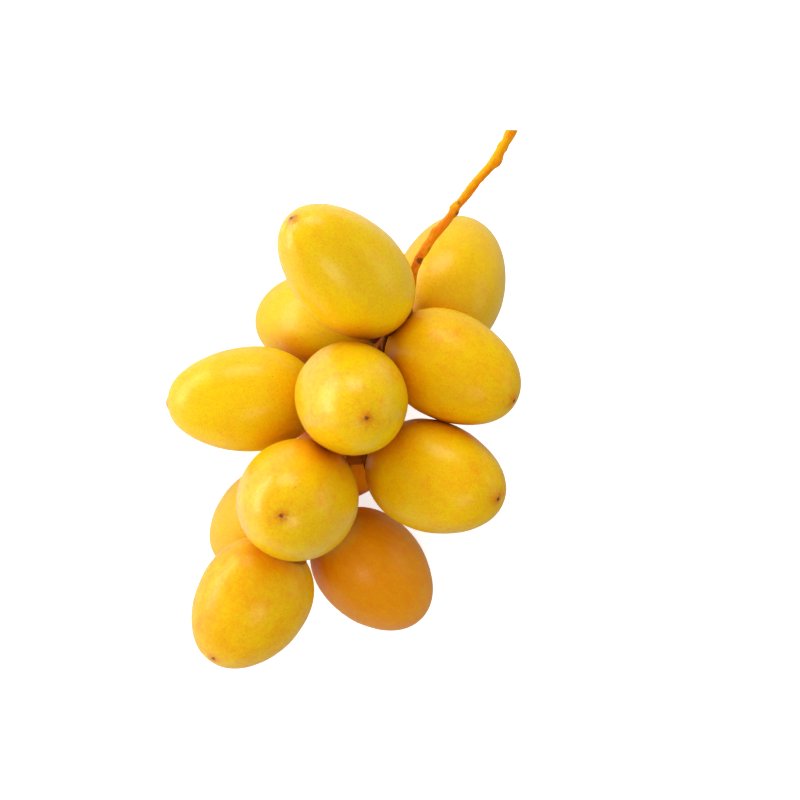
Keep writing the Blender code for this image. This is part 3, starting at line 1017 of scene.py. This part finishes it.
class DATESTRAND_OT_stage(bpy.types.Operator):
    """Add the floor, the lights and the camera that looks straight down"""

    bl_idname = "date_strand.stage"
    bl_label = "Stage"
    bl_options = {"REGISTER", "UNDO"}

    def execute(self, context):
        settings = context.scene.stage_settings
        bpy.ops.object.select_all(action="DESELECT")
        bpy.ops.mesh.primitive_plane_add(size=settings.floor_size, location=UP * -FLOOR_DEPTH)
        floor = context.object
        floor.name = "floor"
        floor.data.materials.append(self.floor_material(settings))
        self.add_world(context.scene, settings)
        for light in LIGHTS:
            self.add_light(*light)
        camera = bpy.data.objects.new("camera", bpy.data.cameras.new("camera"))
        context.scene.collection.objects.link(camera)
        camera.location = Vector((-MIDDLE.x, -MIDDLE.y, 0.0)) * MM + UP * settings.camera_height
        camera.data.lens = settings.lens
        camera.data.sensor_width = 36.0
        camera.data.clip_start = 0.01
        camera.data.clip_end = 20.0
        context.scene.camera = camera
        context.scene.view_settings.view_transform = "Standard"
        return {"FINISHED"}

    def floor_material(self, settings):
        """White paper that the dates see darker on their shaded side, as painted shade."""
        made, n, shader = fresh_material("floor_paper")
        set_sockets(shader, {"Roughness": 0.8, "Specular IOR Level": 0.2,
                             "Emission Color": colour(1.0, 1.0, 1.0)})
        light_path = n.add("ShaderNodeLightPath")
        seen = light_path.outputs["Is Camera Ray"]
        n.put(n.math("MULTIPLY", seen, settings.floor_glow), shader.inputs["Emission Strength"])
        white = colour(*settings.floor_colour)
        # Painted shade: to all but the camera, the floor's colour darkens towards the side away from the
        # lights
        x, y, _ = n.split(n.add("ShaderNodeTexCoord").outputs["Object"])
        slope = n.math("MULTIPLY_ADD", y, -0.45, x)
        painted_floor_shade = n.mix(n.ramp(slope, -0.10, 0.16), white, colour(*settings.far_colour))
        n.put(n.mix(seen, painted_floor_shade, white), shader.inputs["Base Color"])

        # Open to what looks up from below, and to the light under the spots that rest on it
        open_below = n.add("ShaderNodeMixShader")
        touching = n.math("LESS_THAN", light_path.outputs["Ray Length"], RESTING_GAP)
        backfacing = n.add("ShaderNodeNewGeometry").outputs["Backfacing"]
        n.put(n.math("MAXIMUM", backfacing, touching), open_below.inputs[0])
        n.put(shader.outputs["BSDF"], open_below.inputs[1])
        n.put(n.add("ShaderNodeBsdfTransparent").outputs["BSDF"], open_below.inputs[2])
        n.put(open_below.outputs["Shader"], made.node_tree.nodes["Material Output"].inputs["Surface"])
        return made

    def add_world(self, scene, settings):
        """White surroundings that light the dates evenly, and that their wax doesn't mirror."""
        world = bpy.data.worlds.new("studio")
        scene.world = world
        world.use_nodes = True
        world.cycles_visibility.glossy = False
        n = Nodes(world.node_tree)
        background = world.node_tree.nodes["Background"]
        seen = n.add("ShaderNodeLightPath").outputs["Is Camera Ray"]
        n.put(n.math("MAXIMUM", settings.surround, seen), background.inputs["Strength"])
        background.inputs["Color"].default_value = colour(1.0, 1.0, 1.0)

    def add_light(self, name, azimuth, elevation, distance, width, height, brightness, lights, shines):
        """A soft rectangular light that faces the dates."""
        level = math.cos(math.radians(elevation)) * distance
        place = Vector((level * math.cos(math.radians(azimuth)), level * math.sin(math.radians(azimuth)),
                        distance * math.sin(math.radians(elevation)))) + LIT_PLACE
        data = bpy.data.lights.new(name, "AREA")
        data.shape = "RECTANGLE"
        data.size = width
        data.size_y = height
        data.energy = brightness * math.pi * width * height
        light = bpy.data.objects.new(name, data)
        bpy.context.scene.collection.objects.link(light)
        light.location = place
        light.rotation_mode = "QUATERNION"
        light.rotation_quaternion = (LIT_PLACE - place).to_track_quat("-Z", "Y")
        light.visible_camera = False
        light.visible_diffuse = lights
        light.visible_glossy = shines


class DATESTRAND_PT_panel(bpy.types.Panel):
    """The pieces and their settings, in the sidebar of the 3D view"""

    bl_idname = "DATESTRAND_PT_panel"
    bl_label = "Strand of Dates"
    bl_space_type = "VIEW_3D"
    bl_region_type = "UI"
    bl_category = "Dates"

    def draw(self, context):
        groups = (
            (context.scene.date_settings, ("date_strand.dates",)),
            (context.scene.stem_settings, ("date_strand.stem", "date_strand.cups")),
            (context.scene.stage_settings, ("date_strand.stage",)),
        )
        for settings, operators in groups:
            box = self.layout.box()
            for name in settings.__annotations__:
                box.prop(settings, name)
            for operator in operators:
                box.operator(operator)


CLASSES = (DateSettings, StemSettings, StageSettings, DATESTRAND_OT_dates, DATESTRAND_OT_stem,
           DATESTRAND_OT_cups, DATESTRAND_OT_stage, DATESTRAND_PT_panel)


def register():
    for made in CLASSES:
        bpy.utils.register_class(made)
    bpy.types.Scene.date_settings = bpy.props.PointerProperty(type=DateSettings)
    bpy.types.Scene.stem_settings = bpy.props.PointerProperty(type=StemSettings)
    bpy.types.Scene.stage_settings = bpy.props.PointerProperty(type=StageSettings)


def unregister():
    del bpy.types.Scene.stage_settings
    del bpy.types.Scene.stem_settings
    del bpy.types.Scene.date_settings
    for made in reversed(CLASSES):
        bpy.utils.unregister_class(made)


def main():
    register()
    bpy.ops.date_strand.dates()
    bpy.ops.date_strand.stem()
    bpy.ops.date_strand.cups()
    bpy.ops.date_strand.stage()


if __name__ == "__main__":
    main()
